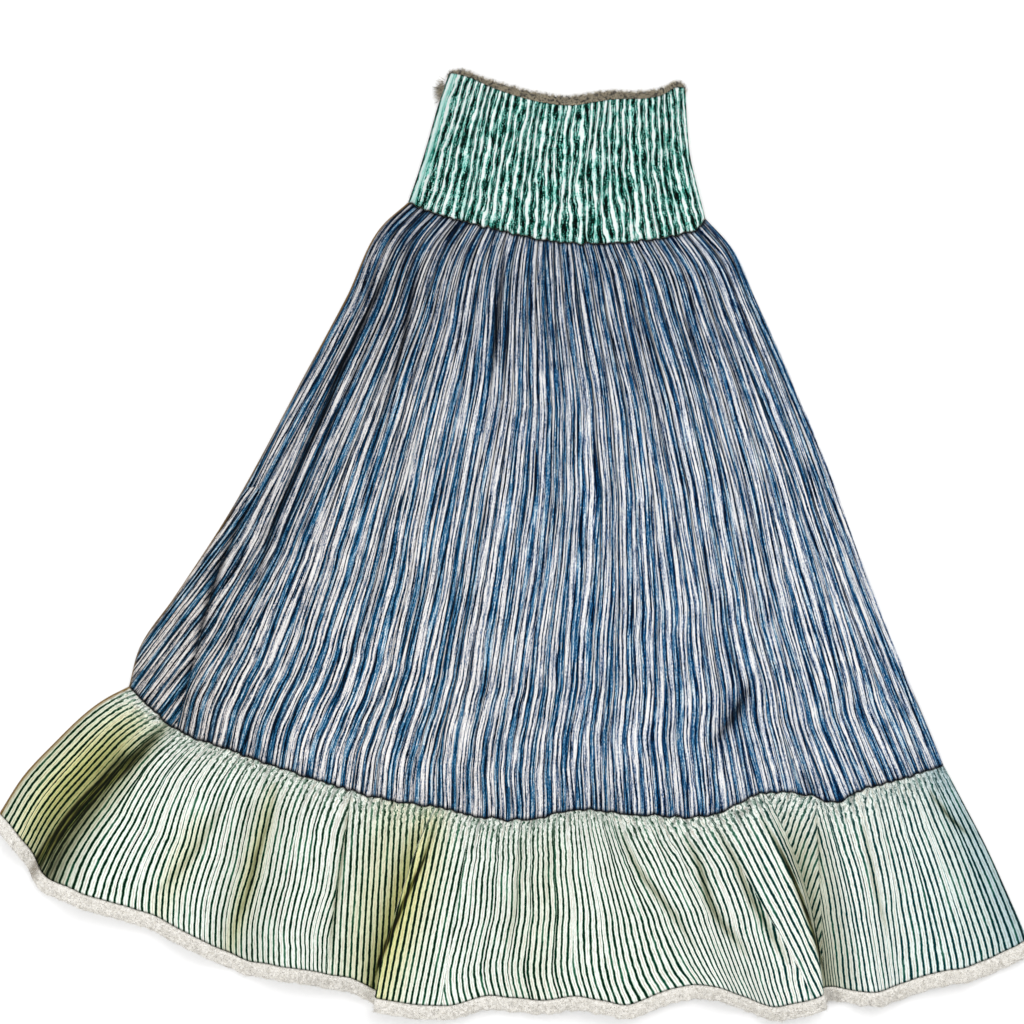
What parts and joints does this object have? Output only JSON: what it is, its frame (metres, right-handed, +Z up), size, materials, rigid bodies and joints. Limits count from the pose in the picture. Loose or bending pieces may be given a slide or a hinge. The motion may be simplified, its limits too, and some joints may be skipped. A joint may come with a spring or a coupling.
{
  "type": "elastic waist skirt",
  "caption": "Long gathered skirt laid flat, with a deep shirred elastic waistband, a crinkled striped body and a pinstriped flounce edged with a fuzzy trim.",
  "frame": {"origin": "on the surface that the skirt lies on, under the middle of its box", "axes": "+X across the skirt to its right as it lies, +Y from the hem towards the waist, +Z up from the surface"},
  "size_m": [1.091, 0.9956, 0.0242],
  "materials": {
    "shirred_green": "shirred cotton, deep green with pale ribs",
    "fuzzy_lining": "fuzzy grey-brown inner side of the shirring",
    "striped_blue": "crinkled cotton, blue, grey and pink-grey stripes",
    "pinstriped_mint": "soft cotton, pale mint with dark green pinstripes",
    "pale_pile": "short off-white pile"
  },
  "bodies": {
    "root": {"waistband_front": "shirred_green", "waistband_back": "fuzzy_lining", "body_front": "striped_blue", "body_back": "striped_blue", "flounce_front": "pinstriped_mint", "flounce_back": "pinstriped_mint", "hem_trim_front": "pale_pile", "hem_trim_back": "pale_pile"}
  },
  "joints": []
}
